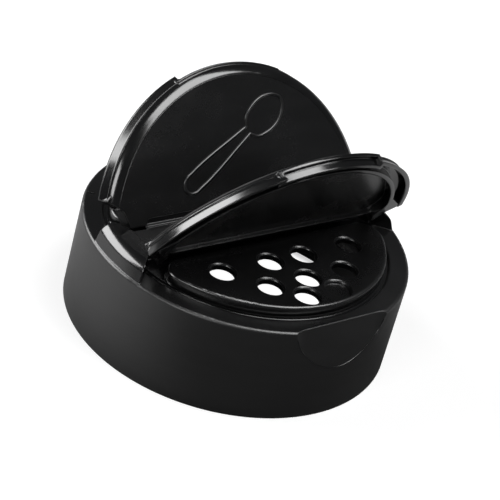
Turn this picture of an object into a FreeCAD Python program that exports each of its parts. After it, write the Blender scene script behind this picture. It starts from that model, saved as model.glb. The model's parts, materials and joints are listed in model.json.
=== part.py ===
import FreeCAD, Part
import math
import os
import re
import Sketcher
from FreeCAD import Vector

# Spice dispensing cap with two hinged flaps on one screw-on body.
# X runs along the hinges, +Y points to the spoon side, -Y to the shaker side and +Z is up.
# The origin is the centre of the bottom rim.

SIZES = {
    # screw-on body
    "cap_radius": 33.0,
    "foot_radius": 33.3,
    "shell_wall": 1.3,
    "bore_height": 12.0,
    "land_step": 0.4,
    "land_rise": 1.0,
    "shoulder_height": 19.8,
    "shoulder_plate": 1.6,
    "shoulder_round": 0.7,
    "rim_groove_width": 0.9,
    "rim_groove_depth": 0.6,
    "rim_edge_chamfer": 0.25,
    # raised decks, one under each flap
    "deck_radius": 27.9,
    "deck_height": 2.1,
    "deck_plate": 1.35,
    "deck_wall": 1.3,
    "deck_back": 6.1,
    "deck_corner": 4.0,
    "deck_round": 0.6,
    # shaker holes in three rows, and the pour opening for a spoon
    "hole_diameter": 5.0,
    "hole_lip_chamfer": 0.35,
    "first_row_inset": 6.4,
    "row_step": 4.7,
    "third_row_inset": 3.9,
    "outer_holes": 15.5,
    "inner_holes": 4.1,
    "middle_holes": 9.1,
    "last_holes": 3.8,
    "dimple_depth": 0.8,
    "pour_rim": 3.2,
    "pour_corner": 3.0,
    # bridge between the flaps, with an end block on each side
    "bridge_half_width": 2.4,
    "bridge_wall": 1.2,
    "block_start_inset": 1.5,
    "block_half_start": 2.1,
    "block_knee": 5.1,
    "block_knee_inset": 0.3,
    "block_back": 6.0,
    "block_wall": 1.4,
    # thumb notch below each flap
    "notch_depth": 2.45,
    "notch_bottom": 10.9,
    "notch_half_flat": 8.5,
    "notch_side_radius": 8.0,
    "notch_wall": 0.8,
    # rim section that flaps and end blocks share
    "rim_overhang": 4.6,
    "crease_inset": 0.75,
    "crease_drop": 1.45,
    "crease_step": 0.15,
    "slope_inset": 2.8,
    "slope_round": 3.0,
    # hinge films; each flap turns where its own film is creased
    "spoon_hinge_reach": 3.2,
    "shaker_hinge_reach": 4.2,
    "film_thickness": 0.3,
    "film_end_inset": 4.9,
    "film_clearance": 0.1,
    "film_recess": 0.2,
    "recess_front": 4.75,
    "recess_end_slope": 2.0,
    # flaps
    "flap_plate": 1.1,
    "flap_gap": 0.35,
    "flap_end_gap": 0.55,
    "flap_knee": 6.9,
    "flap_end_slope": 0.75,
    "skirt_wall": 0.9,
    "skirt_gap": 0.2,
    "seal_wall": 0.9,
    "seal_gap": 0.5,
    "seal_back_gap": 0.6,
    "seal_foot_gap": 0.35,
    "seal_heel_rise": 1.2,
    "seal_heel_reach": 9.0,
    "web_swing": 4.0,
    "thumb_half_width": 11.4,
    "thumb_depth": 0.5,
    "thumb_lip": 0.3,
    # how far each flap stands open from its closed position, in degrees
    "spoon_opening": 61.3,
    "shaker_opening": 64.0,
}

# Sizes that follow the deck, so that rim, rows, blocks and films stay in line with it
FOLLOWERS = {
    "rim_inner_radius": "(deck_radius + rim_groove_width)",
    "rim_foot_radius": "(deck_radius + rim_overhang)",
    "crease_radius": "(rim_foot_radius - crease_inset)",
    "slope_start": "(rim_foot_radius - slope_inset)",
    "first_row": "(deck_back + first_row_inset)",
    "third_row": "(deck_radius - third_row_inset)",
    "second_row": "(third_row - row_step)",
    "block_start": "(deck_radius - block_start_inset)",
    "block_shear": "(deck_radius - block_knee_inset - block_knee)",
    "film_half_length": "(deck_radius - film_end_inset)",
}

# Heights and radii that several pieces share
DECK_TOP = "shoulder_height + deck_height"
PANEL_UNDERSIDE = DECK_TOP + " + flap_gap"
PANEL_TOP = PANEL_UNDERSIDE + " + flap_plate"
FILM_TOP = PANEL_TOP + " - film_recess"
HINGE_HEIGHT = FILM_TOP + " - film_thickness / 2"
CREASE_HEIGHT = PANEL_TOP + " - crease_drop"
GROOVE_FLOOR = "shoulder_height - rim_groove_depth"
PLATE_UNDERSIDE = "shoulder_height - shoulder_plate"
BORE_RADIUS = "cap_radius - shell_wall"
KNEE_SLOPE = "(block_knee + block_shear - block_start) / (block_knee - block_half_start)"
SEAL_BACK = "deck_back - seal_back_gap"
SKIRT_FOOT = "shoulder_height + skirt_gap"
SEAL_FOOT = "shoulder_height + seal_foot_gap"

doc = FreeCAD.newDocument("SpiceCap")
sheet = doc.addObject("Spreadsheet::Sheet", "Sizes")
for row, (alias, size) in enumerate(SIZES.items(), start=1):
    sheet.set("A%d" % row, alias)
    sheet.set("B%d" % row, str(size))
    sheet.setAlias("B%d" % row, alias)
doc.recompute()


def formula(text):
    """The text with each size's name led back to the sheet; every such name has an underscore."""
    def lead_back(name):
        word = name.group()
        return formula(FOLLOWERS[word]) if word in FOLLOWERS else "Sizes." + word

    return re.sub(r"[a-z]+(?:_[a-z]+)+", lead_back, text)


def value(text):
    """The number that a formula gives with the present sizes."""
    return float(sheet.evalExpression(formula(text)))


def new_body(label):
    body = doc.addObject("PartDesign::Body", label)
    body.Label = label
    return body


def new_sketch(body, name, plane, height=None):
    """A sketch on one of the body's own origin planes, raised along the plane's normal."""
    sketch = body.newObject("Sketcher::SketchObject", name)
    origin_plane = next(item for item in body.Origin.OriginFeatures if item.Role == plane)
    sketch.AttachmentSupport = [(origin_plane, "")]
    sketch.MapMode = "FlatFace"
    if height:
        sketch.AttachmentOffset = FreeCAD.Placement(Vector(0, 0, value(height)), FreeCAD.Rotation())
        sketch.setExpression("AttachmentOffset.Base.z", formula(height))
    return sketch


def constrain(sketch, kind, geometry, text):
    index = sketch.addConstraint(Sketcher.Constraint(kind, *geometry, value(text)))
    sketch.setExpression("Constraints[%d]" % index, formula(text))


def outline(sketch, corners):
    """A closed outline; a corner is (x, y), or (x, y, radius) where a left-turning arc follows it."""
    places = [Vector(value(corner[0]), value(corner[1]), 0) for corner in corners]
    pieces = []
    for index, corner in enumerate(corners):
        start = places[index]
        end = places[(index + 1) % len(corners)]
        if len(corner) == 3:
            radius = value(corner[2])
            half = (end - start) / 2
            left = Vector(-half.y, half.x, 0).normalize()
            centre = start + half + left * math.sqrt(radius ** 2 - half.Length ** 2)
            angles = [math.atan2(place.y - centre.y, place.x - centre.x) for place in (start, end)]
            circle = Part.Circle(centre, Vector(0, 0, 1), radius)
            pieces.append(sketch.addGeometry(Part.ArcOfCircle(circle, *angles)))
        else:
            pieces.append(sketch.addGeometry(Part.LineSegment(start, end)))
    for index, piece in enumerate(pieces):
        follower = pieces[(index + 1) % len(pieces)]
        sketch.addConstraint(Sketcher.Constraint("Coincident", piece, 2, follower, 1))
    for piece, corner in zip(pieces, corners):
        constrain(sketch, "DistanceX", (-1, 1, piece, 1), corner[0])
        constrain(sketch, "DistanceY", (-1, 1, piece, 1), corner[1])
        if len(corner) == 3:
            constrain(sketch, "Radius", (piece,), corner[2])


def half_round(sketch, radius, back, corner):
    """A half-round outline on the +Y side with a straight back and two rounded back corners."""
    centre_x = "sqrt((%s - (%s))^2 - (%s + %s)^2)" % (radius, corner, back, corner)
    reach = "(%s) / (%s - (%s))" % (radius, radius, corner)
    tangent_x = "%s * %s" % (centre_x, reach)
    tangent_y = "(%s + %s) * %s" % (back, corner, reach)
    outline(sketch, [
        (centre_x, back, corner),
        (tangent_x, tangent_y, radius),
        ("-" + tangent_x, tangent_y, corner),
        ("-" + centre_x, back),
    ])


def circle(sketch, x, y, diameter):
    place = Vector(value(x), value(y), 0)
    index = sketch.addGeometry(Part.Circle(place, Vector(0, 0, 1), value(diameter) / 2))
    constrain(sketch, "DistanceX", (-1, 1, index, 3), x)
    constrain(sketch, "DistanceY", (-1, 1, index, 3), y)
    constrain(sketch, "Diameter", (index,), diameter)


def extrude(body, kind, sketch, length, symmetric=False, downward=False):
    """A pad or pocket of the sketch; downward means against the sketch's normal."""
    before = volume_so_far(body)
    feature = body.newObject("PartDesign::" + kind, sketch.Name + kind)
    feature.Profile = sketch
    feature.SideType = "Symmetric" if symmetric else "One side"
    # a pocket runs against the sketch's normal by itself, a pad along it
    feature.Reversed = downward if kind == "Pad" else not downward
    feature.setExpression("Length", formula(length))
    return settle(body, feature, before, grows=kind == "Pad")


def revolve(body, kind, sketch, angle=360):
    before = volume_so_far(body)
    feature = body.newObject("PartDesign::" + kind, sketch.Name + kind)
    feature.Profile = sketch
    feature.ReferenceAxis = (sketch, ["V_Axis"])
    feature.Angle = angle
    return settle(body, feature, before, grows=kind == "Revolution")


def mirror(body, originals, plane, name, grows):
    before = volume_so_far(body)
    feature = body.newObject("PartDesign::Mirrored", name)
    feature.Originals = originals
    origin_plane = next(item for item in body.Origin.OriginFeatures if item.Role == plane)
    feature.MirrorPlane = (origin_plane, [""])
    body.Tip = feature
    return settle(body, feature, before, grows)


def ease(body, kind, name, size, chosen):
    """Rounds or chamfers the outside edges of the body's tip that the test chooses."""
    before = volume_so_far(body)
    base = body.Tip
    edges = ["Edge%d" % number for number, edge in enumerate(base.Shape.Edges, start=1) if chosen(edge)]
    assert edges, name + " finds no edge"
    feature = body.newObject("PartDesign::" + kind, name)
    feature.Base = (base, edges)
    feature.setExpression("Radius" if kind == "Fillet" else "Size", formula(size))
    return settle(body, feature, before, grows=False)


def volume_so_far(body):
    return body.Tip.Shape.Volume if body.Tip else 0.0


def settle(body, feature, before, grows):
    """Recomputes, and stops if the new feature failed or did not change the solid the right way."""
    doc.recompute()
    assert "Invalid" not in feature.State and "Error" not in feature.State, feature.Label + " failed"
    change = feature.Shape.Volume - before
    assert feature.Shape.Volume > 0 and (change > 0) == grows, feature.Label + " changes nothing"
    body.Tip = feature
    return feature


def at_height(edge, height):
    box = edge.BoundBox
    return abs(box.ZMin - height) < 1e-4 and abs(box.ZMax - height) < 1e-4


def is_circle(edge, radius, height):
    curve = edge.Curve
    return isinstance(curve, Part.Circle) and abs(curve.Radius - radius) < 1e-4 and at_height(edge, height)


def notch_sweep(body, kind, section, name):
    """A pad or pocket that runs down and outwards from the shoulder, along the floor of the notch."""
    before = volume_so_far(body)
    feature = body.newObject("PartDesign::" + kind, name)
    feature.Profile = section
    feature.UseCustomVector = True
    feature.AlongSketchNormal = True
    drop = "shoulder_height - notch_bottom"
    run_out = "notch_depth + (foot_radius - cap_radius) * (%s) / shoulder_height" % drop
    feature.Direction = Vector(0, value(run_out), -value(drop))
    feature.setExpression("Direction.y", formula(run_out))
    feature.setExpression("Direction.z", formula("-(%s)" % drop))
    feature.setExpression("Length", formula(drop))
    return settle(body, feature, before, grows=kind == "Pad")


def add_notch_backing(body):
    """Walls that stand in behind the thumb notches, so that the side wall stays closed there."""
    section = new_sketch(body, "BackingSection", "XY_Plane", "shoulder_height")
    inside = "cap_radius - notch_depth - notch_wall"
    width = "notch_half_flat + notch_side_radius / 2"
    outline(section, [
        (width, inside),
        (width, "foot_radius"),
        ("-(%s)" % width, "foot_radius"),
        ("-(%s)" % width, inside),
    ])
    backing = notch_sweep(body, "Pad", section, "NotchBacking")
    mirror(body, [backing], "XZ_Plane", "FrontNotchBacking", grows=True)
    outside = new_sketch(body, "OutsideSection", "XZ_Plane")
    far = "foot_radius + notch_side_radius"
    outline(outside, [
        ("foot_radius", "0"),
        (far, "0"),
        (far, "shoulder_height"),
        ("cap_radius", "shoulder_height"),
    ])
    revolve(body, "Groove", outside)


def add_cup(body):
    """Side wall with a slight draft, the bore, the narrower land above it and the shoulder plate."""
    section = new_sketch(body, "CupSection", "XZ_Plane")
    land_radius = BORE_RADIUS + " - land_step"
    outline(section, [
        ("0", PLATE_UNDERSIDE),
        (land_radius, PLATE_UNDERSIDE),
        (land_radius, "bore_height + land_rise"),
        (BORE_RADIUS, "bore_height"),
        (BORE_RADIUS, "0"),
        ("foot_radius", "0"),
        ("cap_radius", "shoulder_height"),
        ("0", "shoulder_height"),
    ])
    revolve(body, "Revolution", section)
    ease(body, "Fillet", "ShoulderRound", "shoulder_round",
           lambda edge: is_circle(edge, value("cap_radius"), value("shoulder_height")))


def add_thumb_notches(body):
    """A slanted hollow in the side wall below each flap, with a flat floor and curved sides."""
    section = new_sketch(body, "NotchSection", "XY_Plane", "shoulder_height")
    floor = "cap_radius - notch_depth"
    rim = "foot_radius + notch_depth"
    side = "notch_side_radius"
    outline(section, [
        ("notch_half_flat", floor, side),
        ("notch_half_flat + " + side, floor + " + " + side),
        ("notch_half_flat + " + side, rim + " + " + side),
        ("-(notch_half_flat + %s)" % side, rim + " + " + side),
        ("-(notch_half_flat + %s)" % side, floor + " + " + side, side),
        ("-notch_half_flat", floor),
    ])
    notch = notch_sweep(body, "Pocket", section, "ThumbNotch")
    mirror(body, [notch], "XZ_Plane", "FrontThumbNotch", grows=False)


def add_rim_groove(body):
    """The narrow groove between the shoulder ring and the decks."""
    section = new_sketch(body, "RimGrooveSection", "XZ_Plane")
    outline(section, [
        ("deck_radius", GROOVE_FLOOR),
        ("rim_inner_radius", GROOVE_FLOOR),
        ("rim_inner_radius", "shoulder_height + rim_groove_depth"),
        ("deck_radius", "shoulder_height + rim_groove_depth"),
    ])
    revolve(body, "Groove", section)
    ease(body, "Chamfer", "RimEdgeChamfer", "rim_edge_chamfer",
         lambda edge: is_circle(edge, value("rim_inner_radius"), value("shoulder_height")))


def add_decks(body):
    """Two hollow half-round decks that the flaps close over."""
    top = new_sketch(body, "DeckOutline", "XY_Plane", GROOVE_FLOOR)
    half_round(top, "deck_radius", "deck_back", "deck_corner")
    deck = extrude(body, "Pad", top, "deck_height + rim_groove_depth")
    core_outline = new_sketch(body, "DeckCore", "XY_Plane", PLATE_UNDERSIDE)
    core_back = "deck_back + deck_wall"
    half_round(core_outline, "(deck_radius - deck_wall)", core_back, "(deck_corner - deck_wall)")
    core_depth = "%s - deck_plate - (%s)" % (DECK_TOP, PLATE_UNDERSIDE)
    core = extrude(body, "Pocket", core_outline, core_depth)
    mirror(body, [deck, core], "XZ_Plane", "ShakerDeck", grows=True)
    ease(body, "Fillet", "DeckEdgeRound", "deck_round", lambda edge: at_height(edge, value(DECK_TOP)))


def add_bridge(body):
    """The rib between the decks, cored from below, with a hinge film along each side."""
    rib_outline = new_sketch(body, "BridgeOutline", "XY_Plane", GROOVE_FLOOR)
    reach = "block_start + block_wall"
    outline(rib_outline, [
        ("-(%s)" % reach, "-bridge_half_width"),
        (reach, "-bridge_half_width"),
        (reach, "bridge_half_width"),
        ("-(%s)" % reach, "bridge_half_width"),
    ])
    extrude(body, "Pad", rib_outline, "%s - (%s)" % (FILM_TOP, GROOVE_FLOOR))
    film = new_sketch(body, "FilmSection", "YZ_Plane")
    low = "%s - film_thickness / 2" % HINGE_HEIGHT
    # just over half the film's thickness, so that the end is a whole half circle
    bead = "film_thickness / 2 * 1.000001"
    outline(film, [
        ("-shaker_hinge_reach", low),
        ("spoon_hinge_reach", low, bead),
        ("spoon_hinge_reach", FILM_TOP),
        ("-shaker_hinge_reach", FILM_TOP, bead),
    ])
    extrude(body, "Pad", film, "2 * film_half_length", symmetric=True)


def add_end_blocks(body):
    """Solid-looking blocks that close the ring between the flaps, hollow from below."""
    plan = new_sketch(body, "BlockPlan", "XY_Plane", GROOVE_FLOOR)
    front_x = "(block_shear + sqrt(2 * rim_foot_radius^2 - block_shear^2)) / 2"
    back_x = "sqrt(rim_foot_radius^2 - block_back^2)"
    outline(plan, [
        ("block_start", "-block_half_start"),
        ("block_knee + block_shear", "-block_knee"),
        (front_x, "-(%s - block_shear)" % front_x, "rim_foot_radius"),
        (back_x, "block_back"),
        ("block_back + block_shear", "block_back"),
        ("block_knee + block_shear", "block_knee"),
        ("block_start", "block_half_start"),
    ])
    block = extrude(body, "Pad", plan, "%s - (%s)" % (PANEL_TOP, GROOVE_FLOOR))
    core_plan = new_sketch(body, "BlockCore", "XY_Plane", PLATE_UNDERSIDE)
    inner = "block_start + block_wall"
    outer = "slope_start - block_wall / 4"
    half = "(block_knee - block_wall)"
    outline(core_plan, [
        (inner, "-" + half),
        (outer, "-" + half),
        (outer, half),
        (inner, half),
    ])
    core_height = "%s - block_wall - (%s)" % (PANEL_TOP, PLATE_UNDERSIDE)
    core = extrude(body, "Pocket", core_plan, core_height)
    mirror(body, [block, core], "YZ_Plane", "LeftBlock", grows=True)
    nose = new_sketch(body, "BlockNose", "XZ_Plane")
    clear = "rim_foot_radius + block_wall"
    above = PANEL_TOP + " + block_wall"
    outline(nose, [
        ("slope_start", above),
        (clear, above),
        (clear, "shoulder_height"),
        ("rim_foot_radius", "shoulder_height"),
        ("crease_radius", CREASE_HEIGHT, "slope_round"),
        ("slope_start", PANEL_TOP),
    ])
    revolve(body, "Groove", nose)
    # the rib is hollow along its whole length, out to the end blocks
    slot = new_sketch(body, "BridgeCore", "XY_Plane", PLATE_UNDERSIDE)
    outline(slot, [
        ("-film_half_length", "-(bridge_half_width - bridge_wall)"),
        ("film_half_length", "-(bridge_half_width - bridge_wall)"),
        ("film_half_length", "bridge_half_width - bridge_wall"),
        ("-film_half_length", "bridge_half_width - bridge_wall"),
    ])
    extrude(body, "Pocket", slot, "%s - bridge_wall - (%s)" % (FILM_TOP, PLATE_UNDERSIDE))


def add_shaker_holes(body):
    """Eight open holes and one blind dimple in the front deck, all with eased lips."""
    openings = [
        ("-outer_holes", "-first_row"), ("-inner_holes", "-first_row"),
        ("inner_holes", "-first_row"), ("outer_holes", "-first_row"),
        ("-middle_holes", "-second_row"), ("0", "-second_row"), ("middle_holes", "-second_row"),
        ("-last_holes", "-third_row"),
    ]
    plan = new_sketch(body, "ShakerHoles", "XY_Plane", DECK_TOP)
    for x, y in openings:
        circle(plan, x, y, "hole_diameter")
    extrude(body, "Pocket", plan, "deck_plate + deck_wall", downward=True)
    dimple = new_sketch(body, "BlindDimple", "XY_Plane", DECK_TOP)
    circle(dimple, "last_holes", "-third_row", "hole_diameter")
    extrude(body, "Pocket", dimple, "dimple_depth", downward=True)
    ease(body, "Chamfer", "HoleLips", "hole_lip_chamfer",
         lambda edge: is_circle(edge, value("hole_diameter / 2"), value(DECK_TOP)))


def add_pour_opening(body):
    """The wide half-round opening in the rear deck, for a spoon or for pouring."""
    plan = new_sketch(body, "PourOpening", "XY_Plane", DECK_TOP)
    half_round(plan, "(deck_radius - pour_rim)", "deck_back + pour_rim", "pour_corner")
    extrude(body, "Pocket", plan, "deck_plate + deck_wall", downward=True)


def make_cap_body():
    body = new_body("cap_body")
    add_notch_backing(body)
    add_cup(body)
    add_thumb_notches(body)
    add_rim_groove(body)
    add_decks(body)
    add_bridge(body)
    add_end_blocks(body)
    add_shaker_holes(body)
    add_pour_opening(body)
    return body


def add_flap_shell(body):
    """Half of a turned shell: the flat panel, the rounded band and the skirt below the crease."""
    section = new_sketch(body, "FlapSection", "XZ_Plane")
    outline(section, [
        ("0", PANEL_UNDERSIDE),
        ("deck_radius + seal_gap", PANEL_UNDERSIDE),
        ("crease_radius - skirt_wall", PANEL_UNDERSIDE + " - flap_plate / 2"),
        ("rim_foot_radius - skirt_wall", SKIRT_FOOT),
        ("rim_foot_radius", SKIRT_FOOT),
        ("crease_radius - crease_step", CREASE_HEIGHT + " - crease_step"),
        ("crease_radius", CREASE_HEIGHT, "slope_round"),
        ("slope_start", PANEL_TOP),
        ("0", PANEL_TOP),
    ])
    revolve(body, "Revolution", section, angle=180)


def add_flap_seal(body):
    """The half-round inner wall that closes round the deck, lower at the front than at the hinge."""
    plan = new_sketch(body, "SealPlan", "XY_Plane", SEAL_FOOT)
    inner_radius = "(deck_radius + seal_gap)"
    inner_corner = "(deck_corner + seal_gap / 2)"
    half_round(plan, inner_radius, SEAL_BACK, inner_corner)
    half_round(plan, "(%s + seal_wall)" % inner_radius, SEAL_BACK + " - seal_wall",
               "(%s + seal_wall)" % inner_corner)
    extrude(body, "Pad", plan, "%s + flap_plate / 4 - (%s)" % (PANEL_UNDERSIDE, SEAL_FOOT))
    heel = new_sketch(body, "SealHeel", "YZ_Plane")
    outline(heel, [
        ("0", "shoulder_height"),
        ("seal_heel_reach", "shoulder_height"),
        ("seal_heel_reach", SEAL_FOOT),
        (SEAL_BACK, SEAL_FOOT + " + seal_heel_rise"),
        ("0", SEAL_FOOT + " + seal_heel_rise"),
    ])
    extrude(body, "Pocket", heel, "2 * (deck_radius + seal_gap + seal_wall)", symmetric=True)


def end_x(y):
    """Where the steep end of a flap lies at the height y of its plan, clear of the end block."""
    return "(block_start + (%s - block_half_start) * %s - flap_end_gap)" % (y, KNEE_SLOPE)


def trim_flap_back(body, edge):
    """Cuts the shell back to the hinge edge and both ends clear of the blocks."""
    plan = new_sketch(body, "FlapTrim", "XY_Plane", "shoulder_height")
    far = "(rim_foot_radius + block_wall)"
    knee = end_x("flap_knee")
    far_y = "flap_knee + (%s - %s) * flap_end_slope" % (far, knee)
    outline(plan, [
        ("-" + far, "-block_wall"),
        (far, "-block_wall"),
        (far, far_y),
        (knee, "flap_knee"),
        (end_x(edge), edge),
        ("-" + end_x(edge), edge),
        ("-" + knee, "flap_knee"),
        ("-" + far, far_y),
    ])
    extrude(body, "Pocket", plan, PANEL_TOP)


def add_corner_webs(body, edge):
    """Solid corners beside the hinge, from the seal wall out to the ends of the skirt."""
    radius = "(deck_radius + seal_gap + seal_wall / 2)"
    corner = "(deck_corner + seal_gap / 2 + seal_wall / 2)"
    back = SEAL_BACK + " - seal_wall / 2"
    centre_x = "sqrt((%s - %s)^2 - (%s + %s)^2)" % (radius, corner, back, corner)
    centre_y = "%s + %s" % (back, corner)
    swing = "atan((%s) / (%s))" % (centre_y, centre_x)
    skirt_radius = "(rim_foot_radius - skirt_wall / 2)"
    # the skirt meets the sloping end where the two curves cross
    rise = "(flap_knee - %s * flap_end_slope)" % end_x("flap_knee")
    square = "(1 + flap_end_slope^2)"
    tip_x = "((sqrt(%s * %s^2 - %s^2) - %s * flap_end_slope) / %s)" % (
        square, skirt_radius, rise, rise, square)
    on_seal = "(%s + web_swing * 1 deg)" % swing
    plan = new_sketch(body, "CornerWeb", "XY_Plane", SEAL_FOOT)
    outline(plan, [
        (end_x(edge) + " - seal_wall", edge),
        (end_x(edge), edge),
        (end_x("flap_knee"), "flap_knee"),
        (tip_x, "%s + %s * flap_end_slope" % (rise, tip_x)),
        ("%s * cos%s" % (radius, on_seal), "%s * sin%s" % (radius, on_seal)),
        ("%s + %s * cos(%s)" % (centre_x, corner, swing), "%s + %s * sin(%s)" % (centre_y, corner, swing)),
        ("%s + %s" % (centre_x, corner), centre_y),
        ("%s + %s * sqrt(0.5)" % (centre_x, corner), "%s - %s * sqrt(0.5)" % (centre_y, corner)),
    ])
    web = extrude(body, "Pad", plan, "%s + flap_plate / 4 - (%s)" % (PANEL_UNDERSIDE, SEAL_FOOT))
    mirror(body, [web], "YZ_Plane", "LeftCornerWeb", grows=True)


def thin_flap_hinge(body, edge):
    """Thins the panel to the hinge film: a trapezoid recess on top and a channel below."""
    top = new_sketch(body, "HingeRecess", "XY_Plane", FILM_TOP)
    narrow = "(film_half_length - (recess_front - (%s)) / recess_end_slope)" % edge
    outline(top, [
        ("-film_half_length", "0"),
        ("film_half_length", "0"),
        ("film_half_length", edge),
        (narrow, "recess_front"),
        ("-" + narrow, "recess_front"),
        ("-film_half_length", edge),
    ])
    extrude(body, "Pocket", top, "film_recess + flap_plate")
    below = new_sketch(body, "HingeChannel", "YZ_Plane")
    film_low = "%s - film_thickness" % FILM_TOP
    wall = SEAL_BACK + " - seal_wall"
    outline(below, [
        ("0", "shoulder_height"),
        (wall, "shoulder_height"),
        (wall, film_low),
        ("0", film_low),
    ])
    extrude(body, "Pocket", below, "2 * film_half_length", symmetric=True)


def add_thumb_recess(body):
    """Sets the skirt back under an overhanging lip at the front, where a thumb lifts the flap."""
    backing = new_sketch(body, "ThumbBacking", "XY_Plane", SKIRT_FOOT)
    outer = "(rim_foot_radius - skirt_wall / 2)"
    inner = "(crease_radius - thumb_depth - skirt_wall)"
    width = "thumb_half_width + skirt_wall"
    band(backing, width, inner, outer)
    extrude(body, "Pad", backing, "%s - (%s)" % (PANEL_UNDERSIDE, SKIRT_FOOT))
    hollow = new_sketch(body, "ThumbHollow", "XY_Plane", SKIRT_FOOT)
    band(hollow, "thumb_half_width", "(crease_radius - thumb_depth)", "(rim_foot_radius + skirt_wall)")
    extrude(body, "Pocket", hollow, "%s - thumb_lip - (%s)" % (CREASE_HEIGHT, SKIRT_FOOT))


def band(sketch, half_width, inner, outer):
    """A strip between two arcs about the cap's axis, on the +Y side, with parallel ends."""
    inner_y = "sqrt(%s^2 - (%s)^2)" % (inner, half_width)
    outer_y = "sqrt(%s^2 - (%s)^2)" % (outer, half_width)
    arcs = [(half_width, inner_y, outer_y), ("-(%s)" % half_width, inner_y, outer_y)]
    right, left = arcs
    inner_arc = add_arc(sketch, (left[0], left[1]), (right[0], right[1]), inner)
    outer_arc = add_arc(sketch, (left[0], left[2]), (right[0], right[2]), outer)
    for end in (1, 2):
        near = sketch.getPoint(inner_arc, end)
        far = sketch.getPoint(outer_arc, end)
        side = sketch.addGeometry(Part.LineSegment(near, far))
        sketch.addConstraint(Sketcher.Constraint("Coincident", side, 1, inner_arc, end))
        sketch.addConstraint(Sketcher.Constraint("Coincident", side, 2, outer_arc, end))


def add_arc(sketch, left, right, radius):
    """An arc about the origin from its right end, turning left, to its left end."""
    ends = [Vector(value(x), value(y), 0) for x, y in (right, left)]
    angles = [math.atan2(end.y, end.x) for end in ends]
    circle = Part.Circle(Vector(), Vector(0, 0, 1), value(radius))
    arc = sketch.addGeometry(Part.ArcOfCircle(circle, *angles))
    sketch.addConstraint(Sketcher.Constraint("Coincident", arc, 3, -1, 1))
    constrain(sketch, "Radius", (arc,), radius)
    constrain(sketch, "DistanceX", (-1, 1, arc, 1), right[0])
    constrain(sketch, "DistanceX", (-1, 1, arc, 2), left[0])
    return arc


def make_flap(label, reach):
    """A flap in its closed place on the +Y side, with its hinge line at the given reach."""
    edge = reach + " + film_thickness / 2 + film_clearance"
    body = new_body(label)
    add_flap_shell(body)
    trim_flap_back(body, edge)
    add_flap_seal(body)
    add_corner_webs(body, edge)
    thin_flap_hinge(body, edge)
    add_thumb_recess(body)
    return body


def open_flap(body, reach, opening, turn_axis, angle, side):
    """Places a flap turned open about its hinge line; side is + for the spoon flap, - for the other."""
    swing = opening + " * 1 deg"
    for name, part in zip("xyz", turn_axis):
        body.setExpression("Placement.Rotation.Axis." + name, formula(part))
    body.setExpression("Placement.Rotation.Angle", formula(angle))
    body.setExpression("Placement.Base.y", formula(
        "%s(%s * (1 - cos(%s)) + (%s) * sin(%s))" % (side, reach, swing, HINGE_HEIGHT, swing)))
    body.setExpression("Placement.Base.z", formula(
        "(%s) * (1 - cos(%s)) - %s * sin(%s)" % (HINGE_HEIGHT, swing, reach, swing)))


def check_document():
    """Stops if a feature failed or a piece is not one valid solid."""
    for item in doc.Objects:
        assert "Invalid" not in item.State and "Error" not in item.State, item.Label + " failed"
    for piece in pieces:
        assert not piece.Shape.isNull() and piece.Shape.isValid(), piece.Label + " is not valid"
        assert len(piece.Shape.Solids) == 1, piece.Label + " is not one solid"


cap_body = make_cap_body()
spoon_flap = make_flap("spoon_flap", "spoon_hinge_reach")
shaker_flap = make_flap("shaker_flap", "shaker_hinge_reach")
open_flap(spoon_flap, "spoon_hinge_reach", "spoon_opening", ("1", "0", "0"), "spoon_opening", "+")
# half a turn about an axis that leans by half the opening brings the flap round to the front as well
lean = ("0", "sin(shaker_opening * 0.5 deg)", "cos(shaker_opening * 0.5 deg)")
open_flap(shaker_flap, "shaker_hinge_reach", "shaker_opening", lean, "180", "-")
pieces = [cap_body, spoon_flap, shaker_flap]
doc.recompute()
check_document()
os.makedirs("parts", exist_ok=True)
for piece in pieces:
    piece.Shape.exportStep("parts/%s.step" % piece.Label)
    box = piece.Shape.BoundBox
    print("%s %.1f cubic mm, x %.2f %.2f y %.2f %.2f z %.2f %.2f" % (
        piece.Label, piece.Shape.Volume, box.XMin, box.XMax, box.YMin, box.YMax, box.ZMin, box.ZMax))
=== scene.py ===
"""Spice dispensing cap: the surface detail, finishes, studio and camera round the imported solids."""
import json
import logging
import math
from dataclasses import dataclass, field
from enum import Enum
from functools import cached_property
from typing import Optional, Sequence, Union

import bmesh
import bpy
from mathutils import Matrix, Vector


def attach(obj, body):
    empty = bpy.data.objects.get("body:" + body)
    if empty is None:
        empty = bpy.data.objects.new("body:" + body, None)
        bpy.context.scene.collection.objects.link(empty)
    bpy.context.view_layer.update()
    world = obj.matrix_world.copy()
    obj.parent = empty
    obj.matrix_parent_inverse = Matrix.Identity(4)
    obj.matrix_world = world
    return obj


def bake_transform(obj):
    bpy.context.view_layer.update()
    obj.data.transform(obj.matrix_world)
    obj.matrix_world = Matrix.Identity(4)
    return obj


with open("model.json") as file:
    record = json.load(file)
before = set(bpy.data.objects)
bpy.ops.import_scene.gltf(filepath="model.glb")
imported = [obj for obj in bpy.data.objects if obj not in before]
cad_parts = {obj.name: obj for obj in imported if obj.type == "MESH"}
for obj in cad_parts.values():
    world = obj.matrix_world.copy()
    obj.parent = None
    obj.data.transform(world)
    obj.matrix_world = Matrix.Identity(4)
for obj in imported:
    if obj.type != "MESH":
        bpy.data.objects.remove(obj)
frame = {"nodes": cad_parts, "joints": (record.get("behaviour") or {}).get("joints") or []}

LOG = logging.getLogger("spice_cap")
MM = 0.001
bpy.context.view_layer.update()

# Sizes of the solids that the details lie on, in millimetres, with the flaps closed
SHOULDER = 19.8
SHOULDER_RADIUS = 33.0
DECK_TOP = 21.9
PANEL_TOP = 23.35

Link = bpy.types.NodeSocket
Colour = Sequence[float]


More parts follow.
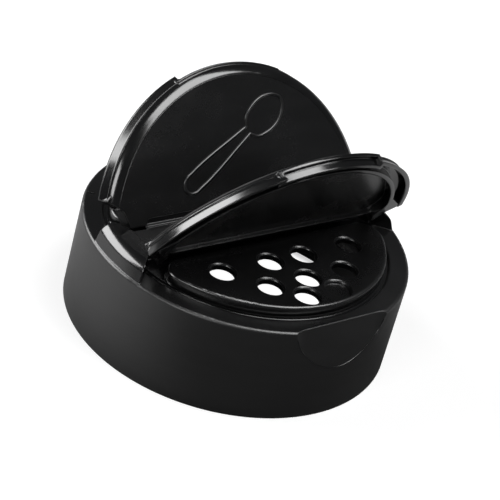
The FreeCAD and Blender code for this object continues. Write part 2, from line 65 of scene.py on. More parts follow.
class Side(Enum):
    """The two sides of the bridge: the spoon flap is at the back (+Y), the shaker flap in front."""

    SPOON = 1
    SHAKER = -1

    @property
    def flap(self) -> str:
        """The name of the flap's body and node on this side."""
        return "spoon_flap" if self is Side.SPOON else "shaker_flap"

    @property
    def joint(self) -> str:
        """The name of the hinge on this side."""
        return "spoon_hinge" if self is Side.SPOON else "shaker_hinge"

    @property
    def turn(self) -> Matrix:
        """The turn that brings what is drawn on the +Y side to this side."""
        return Matrix.Identity(4) if self is Side.SPOON else Matrix.Rotation(math.pi, 4, "Z")


def hinge_facts(side: Side) -> tuple[float, float, float]:
    """Reads a flap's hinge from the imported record.

    Args:
        side: Which flap.

    Returns:
        The hinge line's distance from the cap's middle and its height, in metres, and how far the
        flap stands open at rest, in radians.
    """
    joint = next(item for item in frame["joints"] if item["name"] == side.joint)
    reach = abs(joint["pos_m"][1])
    return reach, joint["pos_m"][2], math.radians(-joint["range_deg"][0])


def closed_to_rest(side: Side) -> Matrix:
    """The turn that brings what is drawn on a closed flap to where the open flap stands at rest.

    Args:
        side: Which flap.

    Returns:
        A matrix for points of a closed flap, drawn on the +Y side for either flap.
    """
    reach, height, opening = hinge_facts(side)
    at_hinge = Matrix.Translation((0.0, reach, height))
    return side.turn @ at_hinge @ Matrix.Rotation(opening, 4, "X") @ at_hinge.inverted()


def add_object(name: str, data: bpy.types.ID) -> bpy.types.Object:
    """Puts an object into the scene, at the origin.

    Args:
        name: The object's name.
        data: What it shows.

    Returns:
        The new object.
    """
    made = bpy.data.objects.new(name, data)
    bpy.context.scene.collection.objects.link(made)
    return made


def facing(away: Vector) -> Matrix:
    """The turn of a camera or lamp that looks back along this direction."""
    return away.to_track_quat("Z", "Y").to_matrix().to_4x4()


Wire = Union["Wires", float]


class Wires:
    """A shader socket in a sum: operators on it add Math nodes, so formulas read as formulas."""

    def __init__(self, tree: bpy.types.NodeTree, socket: Link) -> None:
        """Wraps the socket of a node in the tree."""
        self.tree = tree
        self.socket = socket

    def _math(self, operation: str, first: Wire, second: Optional[Wire] = None) -> "Wires":
        """Adds one Math node.

        Args:
            operation: The Math node's operation.
            first: The first value.
            second: The second value, where the operation has one.

        Returns:
            The node's result.
        """
        node = self.tree.nodes.new("ShaderNodeMath")
        node.operation = operation
        for slot, given in zip(node.inputs, (first, second)):
            if isinstance(given, Wires):
                self.tree.links.new(given.socket, slot)
            elif given is not None:
                slot.default_value = given
        return Wires(self.tree, node.outputs[0])

    def __add__(self, other: Wire) -> "Wires":
        """The sum."""
        return self._math("ADD", self, other)

    __radd__ = __add__

    def __sub__(self, other: Wire) -> "Wires":
        """The difference."""
        return self._math("SUBTRACT", self, other)

    def __mul__(self, other: Wire) -> "Wires":
        """The product."""
        return self._math("MULTIPLY", self, other)

    __rmul__ = __mul__

    def root(self) -> "Wires":
        """The square root."""
        return self._math("SQRT", self)

    def most(self, other: Wire) -> "Wires":
        """The larger of two values."""
        return self._math("MAXIMUM", self, other)


class Shader:
    """A shader under construction: its nodes come from one method, its sums from Wires."""

    # Where the Mix node keeps the sockets of its colours
    MIX_FACTOR, MIX_FIRST, MIX_SECOND, MIX_RESULT = 0, 6, 7, 2

    def __init__(self, owner: Union[bpy.types.Material, bpy.types.World]) -> None:
        """Empties the node tree of a material or of the world."""
        self.owner = owner
        owner.use_nodes = True
        self.tree = owner.node_tree
        self.tree.nodes.clear()

    @cached_property
    def coordinates(self) -> Link:
        """The piece's own coordinates."""
        return self.node("TexCoord").outputs["Object"]

    def feed(self, slot: Link, given: object) -> None:
        """Gives an input its link or its constant.

        Args:
            slot: The input.
            given: A link, a sum or a constant.
        """
        source = given.socket if isinstance(given, Wires) else given
        if isinstance(source, Link):
            self.tree.links.new(source, slot)
        else:
            slot.default_value = source

    def node(self, kind: str, settings: Optional[dict] = None, **sockets: object) -> bpy.types.Node:
        """Adds any node.

        Args:
            kind: The node's type, without the words in front of it.
            settings: What is set on the node itself, before its sockets.
            sockets: Values or links of its inputs, with underscores for spaces.

        Returns:
            The node.
        """
        made = self.tree.nodes.new("ShaderNode" + kind)
        for key, given in (settings or {}).items():
            setattr(made, key, given)
        for key, given in sockets.items():
            self.feed(made.inputs[key.replace("_", " ")], given)
        return made

    def value(self, kind: str, output: str, settings: Optional[dict] = None, **sockets: object) -> Wires:
        """A node's output, ready for a formula."""
        return Wires(self.tree, self.node(kind, settings, **sockets).outputs[output])

    def noise(self, scale: float, detail: float = 3.0, roughness: float = 0.55,
              vector: Optional[Link] = None) -> Wires:
        """Adds noise, about 0 to 1.

        Args:
            scale: Waves per metre.
            detail: How many finer layers it has.
            roughness: How strong they are.
            vector: Where it is read, or the piece's own coordinates.

        Returns:
            The noise.
        """
        return self.value("TexNoise", "Fac", Vector=vector or self.coordinates, Scale=scale,
                          Detail=detail, Roughness=roughness)

    def smooth(self, given: Wires, low: float, high: float, start: float = 0.0, end: float = 1.0) -> Wires:
        """Leads a value smoothly from start to end while it goes from low to high."""
        return self.value("MapRange", "Result", {"interpolation_type": "SMOOTHSTEP"}, Value=given,
                          From_Min=low, From_Max=high, To_Min=start, To_Max=end)

    def mix(self, factor: Wires, first: Union[Link, Colour], second: Union[Link, Colour]) -> Link:
        """Blends two colours.

        Args:
            factor: 0 gives the first colour and 1 the second.
            first: The first colour, or its link.
            second: The second colour, or its link.

        Returns:
            The blended colour.
        """
        made = self.node("Mix", {"data_type": "RGBA"})
        self.feed(made.inputs[self.MIX_FACTOR], factor)
        for slot, colour in ((self.MIX_FIRST, first), (self.MIX_SECOND, second)):
            self.feed(made.inputs[slot], colour if isinstance(colour, Link) else (*colour, 1.0))
        return made.outputs[self.MIX_RESULT]

    def across_and_up(self, vector: Link) -> tuple[Wires, Wires]:
        """A point's distance from the cap's axis and its height, in metres."""
        parts = self.node("SeparateXYZ", None, Vector=vector).outputs
        across, along, up = (Wires(self.tree, part) for part in parts)
        return (across * across + along * along).root(), up

    def seen_or_not(self, hidden: Link, seen: Link) -> Link:
        """One surface for the camera and another for every other ray.

        Args:
            hidden: What lights the object and is mirrored in it.
            seen: What the camera sees.

        Returns:
            The surface.
        """
        path = self.node("LightPath")
        mixed = self.node("MixShader", None, Fac=path.outputs["Is Camera Ray"])
        self.feed(mixed.inputs[1], hidden)
        self.feed(mixed.inputs[2], seen)
        return mixed.outputs[0]

    def output(self, surface: Link) -> Union[bpy.types.Material, bpy.types.World]:
        """Joins the surface to the output and gives what wears it."""
        kind = "OutputMaterial" if isinstance(self.owner, bpy.types.Material) else "OutputWorld"
        self.node(kind, None, Surface=surface)
        return self.owner


@dataclass(frozen=True)
class MouldedPlastic:
    """Black polypropylene as it comes out of the mould.

    Attributes:
        name: The material's name.
        colour: Base colour of the plastic.
        highlight_and_wear_colour: Colour of its worn corners.
        polish: Roughness where the mould was polished.
        matte: Roughness of the spark-eroded faces.
        haze: How much rougher the dull patches are.
        grain: Depth of the spark-eroded grain, in millimetres.
        grain_size: Width of one grain, in millimetres.
        sink: Depth of the slow waves that uneven cooling leaves, in millimetres.
        sink_waves: Slow waves per metre.
        patch_waves: Dull patches per metre.
        speck_waves: Specks of dust per metre.
        flow_waves: Flow marks per metre.
        flow_stretch: How the flow marks are drawn out upwards.
        edge: Radius of the small round on every corner, in millimetres.
        scuff_and_highlight: How far the corners have paled, from 0 to 1, as wear and as a painted edge
            highlight.
        mirror: Strength of the reflections; 0.5 is that of the bare plastic.
    """

    name: str
    colour: Colour = (0.0037, 0.0037, 0.0039)
    highlight_and_wear_colour: Colour = (0.06, 0.06, 0.062)
    polish: float = 0.13
    matte: float = 0.25
    haze: float = 0.07
    grain: float = 0.011
    grain_size: float = 0.24
    sink: float = 0.012
    sink_waves: float = 110.0
    patch_waves: float = 42.0
    speck_waves: float = 2600.0
    flow_waves: float = 260.0
    flow_stretch: tuple[float, float, float] = (0.25, 0.25, 1.6)
    edge: float = 0.4
    scuff_and_highlight: float = 0.35
    mirror: float = 1.0

    def matte_mask(self, shader: Shader) -> Wire:
        """How far a point lies on an eroded face; a polished piece has none."""
        return 0.0

    def worn_and_highlit_corners(self, shader: Shader) -> Wires:
        """Finds the corners, where a rounded normal leaves the face's own; these get wear and a painted
        highlight.

        Args:
            shader: The material under construction.

        Returns:
            1 on a corner and 0 away from it.
        """
        narrow = shader.node("Bevel", {"samples": 4}, Radius=self.edge * 0.3 * MM)
        flat = shader.node("NewGeometry")
        dot = shader.node("VectorMath", {"operation": "DOT_PRODUCT"})
        shader.feed(dot.inputs[0], narrow.outputs["Normal"])
        shader.feed(dot.inputs[1], flat.outputs["Normal"])
        return shader.smooth(Wires(shader.tree, dot.outputs["Value"]), 0.999, 0.96)

    def make(self) -> bpy.types.Material:
        """Builds the material.

        Returns:
            The finished material, ready for a slot.
        """
        shader = Shader(bpy.data.materials.new(self.name))
        mask = self.matte_mask(shader)
        grain = shader.noise(1.0 / (self.grain_size * MM), detail=2.0, roughness=0.6)
        slow = shader.noise(self.sink_waves, detail=2.0)
        patches = shader.noise(self.patch_waves, detail=4.0, roughness=0.6)
        specks = shader.noise(self.speck_waves, detail=1.0)
        drawn = shader.node("Mapping", None, Vector=shader.coordinates, Scale=self.flow_stretch)
        flow = shader.noise(self.flow_waves, roughness=0.5, vector=drawn.outputs["Vector"])
        dull = shader.smooth(patches, 0.42, 0.68)
        dust = shader.smooth(specks, 0.77, 0.84)
        worn_and_highlit = self.worn_and_highlit_corners(shader)
        roughness = (self.polish + dull * self.haze + mask * (self.matte - self.polish)
                     + (grain - 0.5) * 0.06 + dust * 0.12 + worn_and_highlit * 0.06)
        tone = shader.smooth(flow + (patches - 0.5) * 0.6, 0.3, 0.75) + dust * 0.35
        dark = tuple(part * 0.86 for part in self.colour)
        light = tuple(part * 1.5 + 0.001 for part in self.colour)
        plain = shader.mix(tone, dark, light)
        rounded = shader.node("Bevel", {"samples": 10}, Radius=self.edge * MM)
        height = grain * ((0.12 + mask * 0.88) * self.grain) + slow * self.sink
        bump = shader.node("Bump", None, Strength=1.0, Distance=MM, Height=height,
                           Normal=rounded.outputs["Normal"])
        # Painted highlight as well as wear: every corner is paler in the base colour.
        plastic = shader.node("BsdfPrincipled", None,
                              Base_Color=shader.mix(worn_and_highlit * self.scuff_and_highlight, plain, self.highlight_and_wear_colour),
                              Roughness=roughness, IOR=1.6, Specular_IOR_Level=self.mirror,
                              Normal=bump.outputs["Normal"])
        return shader.output(plastic.outputs["BSDF"])


@dataclass(frozen=True)
class CapPlastic(MouldedPlastic):
    """The body: its side wall is eroded, its blocks and bridge are polished.

    Attributes:
        wall_top: Height up to which the wall is eroded, in millimetres.
        wall_inside: The eroded face lies outside this radius, in millimetres.
        deck_edge: The decks end at this radius, in millimetres.
        deck_share: How far the decks are eroded, from 0 to 1.
    """

    matte: float = 0.36
    wall_top: float = SHOULDER - 0.1
    wall_inside: float = 28.6
    deck_edge: float = 28.2
    deck_share: float = 0.5

    def matte_mask(self, shader: Shader) -> Wire:
        """The outside of the side wall with its rounded top, and more faintly shoulder and decks."""
        radius, up = shader.across_and_up(shader.coordinates)
        below = shader.smooth(up, self.wall_top * MM, (self.wall_top + 0.25) * MM, 1.0, 0.0)
        wall = below * shader.smooth(radius, (self.wall_inside - 0.2) * MM, self.wall_inside * MM)
        level = shader.smooth(up, (DECK_TOP - 1.2) * MM, (DECK_TOP - 0.7) * MM)
        inside = shader.smooth(radius, self.deck_edge * MM, (self.deck_edge + 0.2) * MM,
                               self.deck_share, 0.0)
        return wall + level * inside


@dataclass(frozen=True)
class FlapPlastic(MouldedPlastic):
    """A flap: its flat top is eroded up to the sloping band, the rest is polished.

    Attributes:
        side: Which flap.
        panel_radius: Where the sloping band begins, in millimetres.
        panel_underside: Height of the closed flap's inner face, in millimetres.
        seal_inside: Radius of the seal wall's inner face, in millimetres.
    """

    side: Side = Side.SPOON
    panel_radius: float = 29.7
    panel_underside: float = 22.25
    seal_inside: float = 28.4

    def matte_mask(self, shader: Shader) -> Wire:
        """The closed flap's flat top and its inside, wherever the open flap carries them."""
        to_closed = closed_to_rest(self.side).inverted()
        closed = shader.node("Mapping", None, Vector=shader.coordinates,
                             Location=to_closed.translation, Rotation=to_closed.to_euler())
        radius, up = shader.across_and_up(closed.outputs["Vector"])
        on_top = shader.smooth(up, (PANEL_TOP - 0.12) * MM, (PANEL_TOP - 0.02) * MM)
        inside = shader.smooth(radius, (self.panel_radius - 0.1) * MM, self.panel_radius * MM, 1.0, 0.0)
        under = shader.smooth(up, (self.panel_underside + 0.05) * MM, (self.panel_underside + 0.2) * MM,
                              1.0, 0.0)
        in_seal = shader.smooth(radius, self.seal_inside * MM, (self.seal_inside + 0.1) * MM, 1.0, 0.0)
        return on_top * inside + under * in_seal


CAP_FINISH = CapPlastic("cap_plastic")
SPOON_FINISH = FlapPlastic("spoon_flap_plastic", side=Side.SPOON)
SHAKER_FINISH = FlapPlastic("shaker_flap_plastic", side=Side.SHAKER)
SPOON_SIGN_FINISH = MouldedPlastic("sign_plastic", polish=0.3, grain=0.002, sink=0.0, edge=0.05)
BEAD_FINISH = MouldedPlastic("rim_bead_plastic", polish=0.2, grain=0.0, sink=0.0, edge=0.03)
DETAIL_FINISH = MouldedPlastic("detail_plastic", polish=0.22, edge=0.05)
HINGE_FINISH = MouldedPlastic("film_plastic", colour=(0.012, 0.012, 0.0125), polish=0.24, grain=0.0,
                              edge=0.05)


def meeting(verts: Sequence[bmesh.types.BMVert], kind: str) -> list:
    """The parts that meet some vertices, each of them once and in a fixed order.

    Args:
        verts: The vertices.
        kind: Which parts: link_edges or link_faces.

    Returns:
        The parts.
    """
    return list(dict.fromkeys(part for vert in verts for part in getattr(vert, kind)))


def put_in_order(work: bmesh.types.BMesh) -> None:
    """Sorts a bmesh by place, because some operators leave another order on each run.

    Args:
        work: The shape.
    """
    slant = Vector((1.0, math.sqrt(3.0), math.sqrt(7.0)))
    work.verts.sort(key=lambda vert: slant.dot(vert.co))
    work.edges.sort(key=lambda edge: slant.dot(edge.verts[0].co + edge.verts[1].co))
    work.faces.sort(key=lambda face: slant.dot(face.calc_center_median()))


def finish_mesh(work: bmesh.types.BMesh, name: str, material: bpy.types.Material,
                smooth_angle: float) -> bpy.types.Mesh:
    """Turns a bmesh into a dressed mesh with its faces outwards and its corners sharp.

    Args:
        work: The shape, in the row frame.
        name: The mesh's name.
        material: Its finish.
        smooth_angle: Edges sharper than this, in degrees, stay sharp.

    Returns:
        The new mesh.
    """
    bmesh.ops.recalc_face_normals(work, faces=work.faces)
    for face in work.faces:
        face.smooth = True
    for edge in work.edges:
        edge.smooth = len(edge.link_faces) == 2 and edge.calc_face_angle() < math.radians(smooth_angle)
    put_in_order(work)
    mesh = bpy.data.meshes.new(name)
    work.to_mesh(mesh)
    work.free()
    mesh.materials.append(material)
    return mesh


def keep(work: bmesh.types.BMesh, name: str, body: str, material: bpy.types.Material,
         smooth_angle: float = 60.0) -> bpy.types.Object:
    """Turns a bmesh into a finished piece on a body.

    Args:
        work: The shape, in the row frame.
        name: The piece's name.
        body: The body that it moves with.
        material: Its finish.
        smooth_angle: Edges sharper than this, in degrees, stay sharp.

    Returns:
        The new object, at the origin.
    """
    piece = add_object(name, finish_mesh(work, name, material, smooth_angle))
    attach(piece, body)
    LOG.info("%s: %d faces", name, len(piece.data.polygons))
    return piece


def bead_along(name: str, corners: Sequence[Sequence[float]], half_width: float, closed: bool,
               kinks: Sequence[int] = ()) -> bmesh.types.BMesh:
    """Draws a smooth line through some points and gives it a round section.

    Args:
        name: The line's name.
        corners: Its points, in millimetres.
        half_width: The section's radius, in millimetres.
        closed: Whether the line runs back to its first point.
        kinks: The points at which the line has a corner.

    Returns:
        The bead as a mesh, in metres.
    """
    data = bpy.data.curves.new(name, "CURVE")
    data.dimensions = "3D"
    data.bevel_depth = half_width * MM
    data.bevel_resolution = 4
    data.resolution_u = 10
    data.use_fill_caps = not closed
    spline = data.splines.new("BEZIER")
    spline.bezier_points.add(len(corners) - 1)
    spline.use_cyclic_u = closed
    for index, (point, corner) in enumerate(zip(spline.bezier_points, corners)):
        point.co = Vector(corner) * MM
        kind = "VECTOR" if index in kinks else "AUTO"
        point.handle_left_type = kind
        point.handle_right_type = kind
    drawn = add_object(name, data)
    bpy.context.view_layer.update()
    mesh = bpy.data.meshes.new_from_object(drawn)
    bpy.data.objects.remove(drawn)
    work = bmesh.new()
    work.from_mesh(mesh)
    bpy.data.meshes.remove(mesh)
    return work


@dataclass
class PhotoCamera:
    """The camera of the photograph: low over the left of the sifter side, held a little askew.

    Attributes:
        heading: Direction from the cap to the camera, in radians.
        elevation: The camera's height over the table as an angle, in radians.
        roll: How far it is turned about its own axis, in radians.
        distance: Distance from the target, in metres.
        target: The point that it looks at.
        lens: Focal length in millimetres.
        sensor: Width of the sensor in millimetres.
    """

    heading: float = math.radians(-134.41)
    elevation: float = math.radians(31.895)
    roll: float = math.radians(15.6)
    distance: float = 0.320
    target: Vector = field(default_factory=lambda: Vector((0.00004, -0.00202, 0.0166)))
    lens: float = 116.8
    sensor: float = 36.0

    def build(self) -> bpy.types.Object:
        """Places the camera and makes it the scene's own.

        Returns:
            The camera.
        """
        level = math.cos(self.elevation)
        back = Vector((level * math.cos(self.heading), level * math.sin(self.heading),
                       math.sin(self.elevation)))
        data = bpy.data.cameras.new("photo_camera")
        data.lens = self.lens
        data.sensor_width = self.sensor
        camera = add_object("photo_camera", data)
        place = Matrix.Translation(self.target + back * self.distance)
        camera.matrix_world = place @ facing(back) @ Matrix.Rotation(self.roll, 4, "Z")
        bpy.context.scene.camera = camera
        LOG.info("camera at %s", [round(part, 4) for part in camera.matrix_world.translation])
        return camera


@dataclass(frozen=True)
class SoftBox:
    """One soft box that faces the cap.

    Attributes:
        name: The lamp's name.
        place: Where it hangs, in metres.
        size: Its width and height, in metres.
        power: Its power in watts.
        towards: The point that it faces.
    """

    name: str
    place: tuple[float, float, float]
    size: tuple[float, float]
    power: float
    towards: tuple[float, float, float] = (0.0, 0.0, 0.02)

    def build(self) -> bpy.types.Object:
        """Hangs the soft box.

        Returns:
            The lamp.
        """
        data = bpy.data.lights.new(self.name, "AREA")
        data.shape = "RECTANGLE"
        data.size, data.size_y = self.size
        data.energy = self.power
        lamp = add_object(self.name, data)
        away = Vector(self.place) - Vector(self.towards)
        lamp.matrix_world = Matrix.Translation(self.place) @ facing(away)
        return lamp


@dataclass
class Studio:
    """A white table and soft boxes, as in a catalogue picture.

    Attributes:
        table: Half width of the table, in metres.
        room: Strength of the room's own light.
        paper: How much light the paper gives back to the camera, beside its own glow.
        glow: The paper's own glow round the cap, which leaves a soft shadow.
        reflected_shade_front: How light the paper in front of the cap is when mirrored in it, a painted
            shade standing for the dark front of the studio.
        reflected_light_back: The same behind and beside the cap, a painted light standing for the lit
            backdrop.
        boxes: The soft boxes.
    """

    table: float = 3.0
    room: float = 0.055
    paper: Colour = (0.6, 0.6, 0.6)
    glow: Colour = (0.6, 0.6, 0.6)
    reflected_shade_front: Colour = (0.10, 0.10, 0.10)
    reflected_light_back: Colour = (0.55, 0.55, 0.55)
    boxes: tuple[SoftBox, ...] = (
        SoftBox("back_box", (-0.415, 0.57, 0.40), (0.70, 0.42), 5.0),
        SoftBox("front_box", (0.215, -0.265, 0.75), (0.50, 0.58), 4.15),
        SoftBox("side_box", (-0.575, -0.21, 0.53), (0.28, 0.24), 0.92))

    def ground_material(self) -> bpy.types.Material:
        """White paper for the camera, with the cap's soft shadow, and grey paper in reflections; the paper
        under the cap glows full white, painted light seen through the sifter holes.

        Returns:
            The material.
        """
        shader = Shader(bpy.data.materials.new("white_paper"))
        white = (1.0, 1.0, 1.0)
        spread = shader.value("VectorMath", "Value", {"operation": "LENGTH"}, Vector=shader.coordinates)
        # Painted light: under the cap the paper glows full white, though the cap shades it, so the sifter
        # holes show white.
        painted_light_under_cap = shader.smooth(spread, 0.0295, 0.031, 1.0, 0.0)
        far = shader.smooth(spread, 0.1, 0.6)
        glow = shader.node("Emission", None, Color=shader.mix(painted_light_under_cap.most(far), self.glow, white),
                           Strength=1.0)
        paper = shader.node("BsdfDiffuse", None, Color=(*self.paper, 1.0))
        seen = shader.node("AddShader")
        shader.feed(seen.inputs[0], paper.outputs[0])
        shader.feed(seen.inputs[1], glow.outputs[0])
        spot = shader.node("SeparateXYZ", None, Vector=shader.coordinates)
        across, along, _ = (Wires(shader.tree, part) for part in spot.outputs)
        # Painted reflection: for the rays that mirror it, the paper is darker in front of the cap and
        # lighter behind and beside it.
        behind = shader.smooth(along * 0.94 - across * 0.34, -0.02, 0.035)
        beside = shader.smooth(across + along, -0.01, 0.06)
        tone = shader.mix(behind.most(beside), self.reflected_shade_front, self.reflected_light_back)
        hidden = shader.node("BsdfDiffuse", None, Color=tone)
        return shader.output(shader.seen_or_not(hidden.outputs[0], seen.outputs[0]))

    def light_room(self) -> None:
        """A soft grey room, seen as white by the camera."""
        shader = Shader(bpy.data.worlds.new("room"))
        room = shader.node("Background", None, Color=(0.95, 0.97, 1.0, 1.0), Strength=self.room)
        white = shader.node("Background", None, Color=(1.0, 1.0, 1.0, 1.0), Strength=1.0)
        bpy.context.scene.world = shader.output(shader.seen_or_not(room.outputs[0], white.outputs[0]))

    def build(self) -> None:
        """Lays the table, lights the room and hangs the soft boxes."""
        work = bmesh.new()
        bmesh.ops.create_grid(work, x_segments=2, y_segments=2, size=self.table)
        mesh = bpy.data.meshes.new("table")
        work.to_mesh(mesh)
        work.free()
        mesh.materials.append(self.ground_material())
        add_object("table", mesh)
        self.light_room()
        for box in self.boxes:
            box.build()
        LOG.info("studio ready, %d soft boxes", len(self.boxes))


@dataclass
class Finishes:
    """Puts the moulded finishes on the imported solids.

    Attributes:
        wanted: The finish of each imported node.
    """

    wanted: dict[str, MouldedPlastic] = field(default_factory=lambda: {
        "cap_body": CAP_FINISH, "spoon_flap": SPOON_FINISH, "shaker_flap": SHAKER_FINISH})

    def build(self) -> None:
        """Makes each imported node's finish and dresses the node with it."""
        for name, finish in self.wanted.items():
            node = frame["nodes"][name]
            node.data.materials.clear()
            node.data.materials.append(finish.make())
            LOG.info("%s wears %s", name, finish.name)


@dataclass
class SpoonSign:
    """The raised outline of a spoon on the spoon flap, drawn in millimetres on the closed flap.

    Attributes:
        neck: Where the bowl meets the handle.
        turn: The spoon's direction from the hinge line, in degrees.
        bowl: The bowl's half outline, as distance from the neck and half width.
        handle: The handle's half outline, going away from the neck.
        bead_width: Half width of the raised line.
        bead_height: How far the line stands proud.
    """

    neck: tuple[float, float] = (2.6, 18.45)
    turn: float = 31.5
    bowl: tuple[tuple[float, float], ...] = (
        (0.0, 0.85), (1.4, 2.5), (3.4, 3.2), (5.6, 3.35), (7.6, 2.85), (9.4, 1.7), (10.3, 0.0))
    handle: tuple[tuple[float, float], ...] = (
        (-4.8, 1.25), (-10.6, 1.75), (-15.2, 1.85), (-17.6, 1.55), (-18.6, 0.0))
    bead_width: float = 0.34
    bead_height: float = 0.26

    def build(self) -> bpy.types.Object:
        """Lays the bead on the flap.

        Returns:
            The finished bead.
        """
        right = list(reversed(self.handle)) + list(self.bowl)
        left = [(along, -across) for along, across in reversed(right[1:-1])]
        corners = [(along, across, 0.0) for along, across in right + left]
        kinks = [index for index, corner in enumerate(corners) if corner[0] == self.bowl[0][0]]
        work = bead_along("spoon_outline", corners, self.bead_width, True, kinks)
        flatten = Matrix.Diagonal((1.0, 1.0, self.bead_height / self.bead_width, 1.0))
        place = Matrix.Translation(Vector((*self.neck, PANEL_TOP)) * MM)
        turn = Matrix.Rotation(math.radians(self.turn), 4, "Z")
        work.transform(closed_to_rest(Side.SPOON) @ place @ turn @ flatten)
        return keep(work, "spoon_sign", Side.SPOON.flap, SPOON_SIGN_FINISH.make())


@dataclass
class RimBeads:
    """The two fine ridges round a flap: where the flat top ends and along the crease.

    Attributes:
        side: Which flap.
        rings: Radius and height of each ridge on the closed flap, in millimetres.
        width: Half width of a ridge, in millimetres.
        end: Where the ridges end, as an angle from the hinge line, in degrees.
        steps: Steps from end to end.
    """

    side: Side
    rings: tuple[tuple[float, float], ...] = ((29.62, 23.34), (31.74, 21.92))
    width: float = 0.09
    end: float = 17.5
    steps: int = 96

    def build(self) -> bpy.types.Object:
        """Spins a small round section about the cap's middle for each ridge.

        Returns:
            The finished ridges.
        """
        work = bmesh.new()
        sweep = math.radians(180.0 - 2.0 * self.end)
        start = Matrix.Rotation(math.radians(self.end), 4, "Z")
        upright = Matrix.Rotation(math.pi / 2.0, 4, "X")
        for radius, height in self.rings:
            place = start @ Matrix.Translation((radius * MM, 0.0, height * MM)) @ upright
            made = bmesh.ops.create_circle(work, cap_ends=True, segments=8, radius=self.width * MM,
                                           matrix=place)
            section = [*meeting(made["verts"], "link_faces"), *meeting(made["verts"], "link_edges"),
                       *made["verts"]]
            bmesh.ops.spin(work, geom=section, cent=(0.0, 0.0, 0.0), axis=(0.0, 0.0, 1.0),
                           angle=sweep, steps=self.steps, use_merge=False, use_duplicate=False)
        work.transform(closed_to_rest(self.side))
        name = self.side.flap.replace("flap", "rim_beads")
        return keep(work, name, self.side.flap, BEAD_FINISH.make())


@dataclass
class NotchLine:
    """The fine line that the mould leaves round a thumb notch, drawn in millimetres.

    Attributes:
        side: On which side of the cap.
        draft: How much the wall's radius grows from the shoulder to the notch's lower end.
        floor: Distance of the notch's floor from the cap's middle at the shoulder.
        drop: Height of the notch.
        run_out: How far the floor moves outwards over that height.
        half_flat: Half the width of the flat floor.
        side_radius: Radius of the hollow on each side of it.
        half_width: Half the width of the notch's edge where the line ends.
        steps: Steps from the middle to one end.
        bead: Half width of the line.
    """

    side: Side
    draft: float = 0.135
    floor: float = 30.55
    drop: float = 8.9
    run_out: float = 2.585
    half_flat: float = 8.5
    side_radius: float = 8.0
    half_width: float = 10.6
    steps: int = 14
    bead: float = 0.1

    def edge_point(self, across: float) -> tuple[float, float, float]:
        """Finds where the notch's floor meets the side wall, coming nearer with each round.

        Args:
            across: Distance from the notch's middle.

        Returns:
            The point on the wall.
        """
        beside = max(0.0, abs(across) - self.half_flat)
        hollow = self.floor + self.side_radius - math.sqrt(self.side_radius ** 2 - beside ** 2)
        down = 1.0
        for _ in range(6):
            wall = math.sqrt((SHOULDER_RADIUS + self.draft * down) ** 2 - across ** 2)
            down = (wall - hollow) / self.run_out
        return across, wall, SHOULDER - self.drop * down

    def build(self) -> bpy.types.Object:
        """Lays the line along the notch's edge.

        Returns:
            The finished line.
        """
        places = [self.half_width * index / self.steps for index in range(-self.steps, self.steps + 1)]
        work = bead_along("notch_edge", [self.edge_point(place) for place in places], self.bead, False)
        work.transform(self.side.turn)
        return keep(work, "notch_line_" + self.side.name.lower(), "cap", BEAD_FINISH.make())


@dataclass
class HingeFilm:
    """The thin film that a flap bends on: a leaf on each side and the crease between them.

    Attributes:
        side: Which hinge.
        half_length: Half the film's length, in millimetres.
        thickness: The film's thickness with its skin, in millimetres.
        leaf: How far each leaf reaches from the crease, in millimetres.
        corner: Round on the leaves' corners, in millimetres.
        bend: How far from the crease the bend begins, in millimetres.
        smooth_angle: Edges sharper than this, in degrees, stay sharp.
    """

    side: Side
    half_length: float = 22.9
    thickness: float = 0.33
    leaf: float = 0.6
    corner: float = 0.05
    # bend: How far from the crease the bend begins, in millimetres; not used.
    bend: float = 0.25
    smooth_angle: float = 40.0

    def add_leaf(self, work: bmesh.types.BMesh, towards: float, opening: float) -> None:
        """Adds one leaf, on the bridge (-1) or on the flap (1).

        Args:
            work: The film's mesh, with the crease at the origin.
            towards: On which side of the crease.
            opening: The turn of this leaf about the crease, in radians.
        """
        middle = Matrix.Translation((0.0, towards * self.leaf / 2.0 * MM, 0.0))
        size = Matrix.Diagonal((2.0 * self.half_length * MM, self.leaf * MM, self.thickness * MM, 1.0))
        made = bmesh.ops.create_cube(work, size=1.0,
                                     matrix=Matrix.Rotation(opening, 4, "X") @ middle @ size)
        bmesh.ops.bevel(work, geom=meeting(made["verts"], "link_edges"), offset=self.corner * MM,
                        segments=2, profile=0.5, affect="EDGES", material=-1)

    def build(self) -> bpy.types.Object:
        """Builds the film where the flap stands at rest.

        Returns:
            The finished film.
        """
        reach, height, opening = hinge_facts(self.side)
        work = bmesh.new()
        radius = self.thickness / 2.0 * MM
        bmesh.ops.create_cone(work, cap_ends=True, segments=20, radius1=radius, radius2=radius,
                              depth=2.0 * self.half_length * MM,
                              matrix=Matrix.Rotation(math.pi / 2.0, 4, "Y"))
        self.add_leaf(work, -1.0, 0.0)
        self.add_leaf(work, 1.0, opening)
        work.transform(self.side.turn @ Matrix.Translation((0.0, reach, height)))
        name = self.side.flap.replace("flap", "hinge_film")
        piece = add_object(name, finish_mesh(work, name, HINGE_FINISH.make(), self.smooth_angle))
        crease = Vector((0.0, reach * self.side.value, height))
        before = Vector((0.0, -self.side.value, 0.0))
        after = Vector((0.0, self.side.value * math.cos(opening), math.sin(opening)))
        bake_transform(piece)
        LOG.info("%s: %d faces", name, len(piece.data.polygons))
        return piece


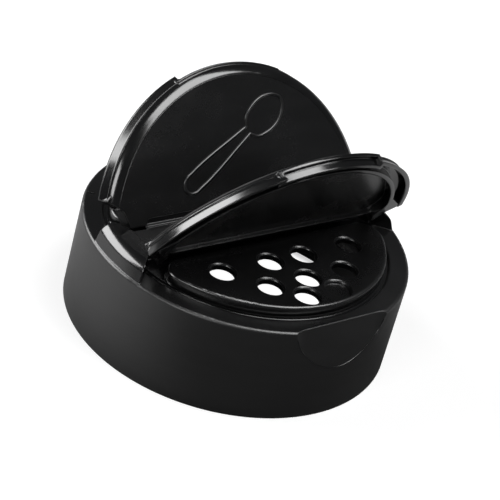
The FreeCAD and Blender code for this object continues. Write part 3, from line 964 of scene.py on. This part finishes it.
@dataclass
class NeckThread:
    """The single-start screw thread inside the side wall, in millimetres.

    Attributes:
        root: Radius of the wall that carries it, with a little to spare.
        crest: Radius of the ridge's inner face.
        pitch: Rise in one turn.
        turns: Length of the ridge.
        start: Height of its lower end.
        foot: Half height of the ridge at the wall.
        top: Half height of the ridge's inner face.
        steps: Steps in one turn.
        fade: Steps over which each end runs out into the wall.
        fade_curve: How late in those steps the ridge sinks; 1 is evenly.
    """

    root: float = 31.95
    crest: float = 30.6
    pitch: float = 4.23
    turns: float = 1.6
    start: float = 3.4
    foot: float = 1.05
    top: float = 0.4
    steps: int = 120
    fade: int = 9
    fade_curve: float = 1.5

    def build(self) -> bpy.types.Object:
        """Spins the ridge's section up the wall.

        Returns:
            The finished thread.
        """
        work = bmesh.new()
        section = [(self.root, -self.foot), (self.crest, -self.top), (self.crest, self.top),
                   (self.root, self.foot)]
        corners = [work.verts.new((out * MM, 0.0, (self.start + up) * MM)) for out, up in section]
        face = work.faces.new(corners)
        steps = round(self.steps * self.turns)
        bmesh.ops.spin(work, geom=[face, *face.edges, *face.verts], cent=(0.0, 0.0, 0.0),
                       axis=(0.0, 0.0, 1.0), dvec=(0.0, 0.0, self.pitch * self.turns / steps * MM),
                       angle=math.tau * self.turns, steps=steps, use_merge=False, use_duplicate=False)
        self.run_out(work, steps)
        return keep(work, "neck_thread", "cap", DETAIL_FINISH.make(), 50.0)

    def run_out(self, work: bmesh.types.BMesh, steps: int) -> None:
        """Sinks both ends of the ridge into the wall, a little more with each step.

        Args:
            work: The thread's mesh.
            steps: How many steps it has.
        """
        depth = self.root - self.crest
        for vert in work.verts:
            out = math.hypot(vert.co.x, vert.co.y) / MM
            if out > self.crest + depth / 2.0:
                continue
            up = vert.co.z / MM - self.start
            swing = math.atan2(vert.co.y, vert.co.x) % math.tau / math.tau
            step = (round(up / self.pitch - swing) + swing) * self.steps
            left = min(step, steps - step)
            if left < self.fade:
                factor = 1.0 + depth * (1.0 - left / self.fade) ** self.fade_curve / out
                vert.co.x *= factor
                vert.co.y *= factor


@dataclass
class ShoulderTick:
    """The small raised mark on the shoulder, in millimetres.

    Attributes:
        heading: Its direction from the cap's middle, in degrees.
        inner: Its inner end.
        outer: Its outer end.
        width: Its width.
        height: How far it stands proud.
        corner: Round on its upper edges.
    """

    heading: float = 139.0
    inner: float = 30.95
    outer: float = 32.35
    width: float = 0.36
    height: float = 0.14
    corner: float = 0.08

    def build(self) -> bpy.types.Object:
        """Builds the mark as a short bar with rounded edges.

        Returns:
            The finished mark.
        """
        work = bmesh.new()
        size = Matrix.Diagonal(((self.outer - self.inner) * MM, self.width * MM,
                                2.0 * self.height * MM, 1.0))
        middle = Matrix.Translation(((self.outer + self.inner) / 2.0 * MM, 0.0, SHOULDER * MM))
        bmesh.ops.create_cube(work, size=1.0, matrix=middle @ size)
        upper = [edge for edge in work.edges if all(vert.co.z > SHOULDER * MM for vert in edge.verts)]
        bmesh.ops.bevel(work, geom=upper, offset=self.corner * MM, segments=3, profile=0.5,
                        affect="EDGES", material=-1)
        work.transform(Matrix.Rotation(math.radians(self.heading), 4, "Z"))
        return keep(work, "shoulder_tick", "cap", DETAIL_FINISH.make(), 50.0)


def main() -> None:
    """Builds the picture's object piece by piece and writes down how large it is."""
    logging.basicConfig(level=logging.INFO, format="%(name)s: %(message)s")
    bpy.context.scene.view_settings.view_transform = "Standard"
    PhotoCamera().build()
    Studio().build()
    Finishes().build()
    SpoonSign().build()
    for side in Side:
        RimBeads(side).build()
        HingeFilm(side).build()
        NotchLine(side).build()
    NeckThread().build()
    ShoulderTick().build()


if __name__ == "__main__":
    main()
